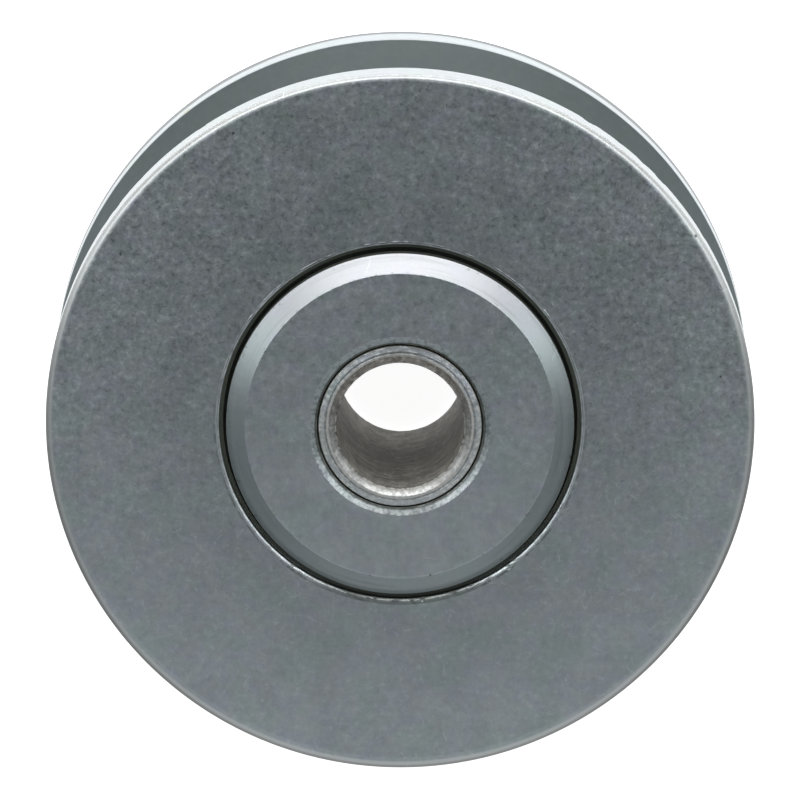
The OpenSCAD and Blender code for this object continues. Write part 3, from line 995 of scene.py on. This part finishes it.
def wheel_corners():
    """The wheel's outline: the web between the bearings, a seat, the mouth, and the rim."""
    seat_r, web = bearing_r + 0.01 * MM, 1 * MM
    sharp, worn = 0.05 * MM, 2 * MM
    upper = [
        (seat_r - 2.5 * MM, web, sharp),
        (seat_r, web, sharp),
        (seat_r, bearing_face, sharp),
        (mouth_r, bearing_face, sharp),
        (mouth_r, wheel_face - 0.1 * MM, 0.03 * MM, 0.5),
        (mouth_r + 0.25 * MM, wheel_face + 0.015 * MM, 0.06 * MM, 1),
        (mouth_r + 0.5 * MM, wheel_face, 0.1 * MM, 0.2),
        (wheel_r - 0.98 * MM, wheel_face, worn),
        (wheel_r - 0.65 * MM, wheel_face - 0.09 * MM, worn),
        (wheel_r - 0.35 * MM, wheel_face - 0.21 * MM, worn),
        (wheel_r, wheel_face - 0.4 * MM, 0.03 * MM),
    ]
    rolled = [
        (wheel_r, groove_mouth + 0.9 * MM, 0.5 * MM),
        (wheel_r - 0.35 * MM, groove_mouth - 0.35 * MM, 0.3 * MM),
    ]
    crisp = [
        (wheel_r - 0.1 * MM, -groove_mouth + 0.1 * MM, 0.03 * MM),
        (wheel_r, -groove_mouth - 0.12 * MM, 0.03 * MM),
    ]
    return upper + rolled + groove_root() + crisp + mirrored(upper)


# Each knock has its angle in degrees and its size in millimetres.
RIM_KNOCKS = [(58, 1.0), (52, 0.5), (47, 0.7), (43, 0.8), (31.6, 0.7), (124, 0.6),
              (137, 0.5), (143, 0.7), (146, 0.6)]
MOUTH_KNOCKS = [(234, 0.3), (249, 0.2), (262, 0.25), (277, 0.3), (286, 0.2), (293, 0.25),
                (306, 0.45), (309, 0.3), (331, 0.2)]


def wheel_knocks():
    """Chips in the groove's front edge, and others round the near half of the mouth."""
    rim_z, mouth_edge, burr = groove_mouth + 0.7 * MM, mouth_r + 0.25 * MM, 0.06 * MM
    rim = [knock(angle, wheel_r, rim_z, size * MM) for angle, size in RIM_KNOCKS]
    mouth = [knock(angle, mouth_edge, wheel_face, size * MM, burr) for angle, size in MOUTH_KNOCKS]
    return rim + mouth


wheel = turned("wheel", wheel_corners(), zinc_of_wheel, 620, 0.03 * MM, wheel_knocks(),
               off_centre=OFF_CENTRE)
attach(wheel, "wheel")
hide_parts("wheel_body")

# %% [markdown]
# ## The hub
#
# Each disc is a bevelled washer with a shallow countersink, and the tube's spread end
# fills it. The tube is one piece from end to end, so it's turned once, with both of
# its ends. The bevel at each end of its bore is plated, and the bore itself is not.

# %% Discs and tube
def disc_corners(side):
    """The outline of a hub disc: side is 1 at the front and -1 at the rear."""
    sink_r, hole_r = flare_r + 0.23 * MM, tube_r + 0.01 * MM
    cone, collar = disc_face - 2.02 * MM, bearing_face + 0.4 * MM
    front = [
        (hole_r, bearing_face, 0),
        (hole_r, cone, 0),
        (sink_r, cone + sink_r - hole_r, 0.05 * MM),
        (sink_r, disc_face - 0.33 * MM, 0.06 * MM, 0.6),
        (sink_r + 0.88 * MM, disc_face, 0.12 * MM, 0.6),
        (disc_r - 2.15 * MM, disc_face, 0.2 * MM),
        (disc_r, disc_face - 1.2 * MM, 0.05 * MM),
        (disc_r, collar, 0.08 * MM),
        (boss_r, collar, 0.05 * MM),
        (boss_r, bearing_face, 0.05 * MM),
    ]
    return front if side > 0 else mirrored(front)


def tube_corners():
    """The tube's outline: a bevelled hole, a turned line in its end face, and the flare."""
    cone = disc_face - 2 * MM
    front = [
        (bore_r, disc_face - 0.5 * MM, 0.15 * MM, 0.5),
        (bore_r + 0.87 * MM, disc_face, 0.08 * MM, 0.3),
        (tube_r - 0.2 * MM, disc_face, 0.08 * MM, 0.3),
        (tube_r - 0.03 * MM, disc_face - 0.05 * MM, 0.06 * MM),
        (tube_r + 0.14 * MM, disc_face - 0.01 * MM, 0.08 * MM, 0.3),
        (flare_r, disc_face - 0.15 * MM, 0.08 * MM, 0.8),
        (flare_r, cone + 0.7 * MM, 0.05 * MM),
        (tube_r, cone, 0),
    ]
    return front + mirrored(front)


front_disc = turned("front_disc", disc_corners(1), zinc_of_discs, 420, 0.05 * MM)
rear_disc = turned("rear_disc", disc_corners(-1), zinc_of_discs, 420, 0.05 * MM)
tube = turned("tube", tube_corners(), zinc_of_tube, 300, 0.04 * MM,
              bore=(bore_r + 0.02 * MM, steel_of_bore))
hub_pieces = [
    (front_disc, "front_hub_disc", "disc_zinc"),
    (rear_disc, "rear_hub_disc", "disc_zinc"),
    (tube, "hub_tube", "tube_zinc"),
]
for piece, node, slot in hub_pieces:
    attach(piece, "hub")
    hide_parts(node)

# %% [markdown]
# ## Bearings and spacer
#
# The two ball bearings and the spacer between them keep their own solids and only
# need finishes. Races are ground, so their lines run round the axis. Balls are
# polished until almost nothing breaks the mirror. Cages and shields are pressed from
# strip, so they have the cloudy, drawn look of cold-worked sheet. Only the sides of
# the rings are greasy, where they lie next to the narrow gaps.

# %% Bare steel
RING_GREASE = (0.09, 0.105, 0.09, 1)


def bare_steel(name, tone, roughness, pitch, ringed, cloudy, greasy=0.0):
    """Steel with rings of this pitch round the axis, clouds, and short rubbed marks."""
    material, tree, place = new_metal(name)
    rings = tool_lines(tree, place, pitch)
    clouds = tree.noise(place, 1.3 * MM, 4.0, 0.7)
    rubbed = marks(tree, place, 1.6 * MM, 0.015)
    colour = tree.mix(clouds.rise(0.3, 0.7) * cloudy, shade(tone, 1.0), shade(tone, 0.6))
    colour = tree.mix(rings.rise(0.5, 0.75) * ringed, colour, shade(tone, 1.35))
    colour = tree.mix(rubbed * 0.4, colour, shade(tone, 0.45))
    _, _, z = tree.split(place)
    grease = abs(z).rise(bearing_face - 0.08 * MM, bearing_face - 0.02 * MM) * greasy
    colour = tree.mix(grease, colour, RING_GREASE)
    roughness = roughness + 0.12 * clouds * cloudy + 0.1 * rubbed + 0.2 * grease
    height = rings * ringed + 0.3 * clouds * cloudy
    finish_metal(tree, colour, roughness, height, 0.01 * MM, metallic=1 - grease)
    return material


finishes = {
    "_ring": bare_steel("ground steel", (0.56, 0.565, 0.57), 0.16, 0.09 * MM, 0.5, 0.15, greasy=1.0),
    "_ball": bare_steel("polished steel", (0.62, 0.625, 0.63), 0.05, 2 * MM, 0.0, 0.06),
    "_cage": bare_steel("pressed strip", (0.52, 0.51, 0.49), 0.3, 0.5 * MM, 0.1, 0.6),
    "_shield": bare_steel("drawn sheet", (0.5, 0.51, 0.515), 0.26, 0.3 * MM, 0.3, 0.4),
    "_spacer": bare_steel("turned steel", (0.44, 0.435, 0.43), 0.3, 0.25 * MM, 0.6, 0.3),
}
for node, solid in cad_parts.items():
    for ending, finish in finishes.items():
        if ending in node:
            for place in solid.material_slots:
                place.material = finish
print("finishes on", sum(any(e in n for e in finishes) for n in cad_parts), "solids")
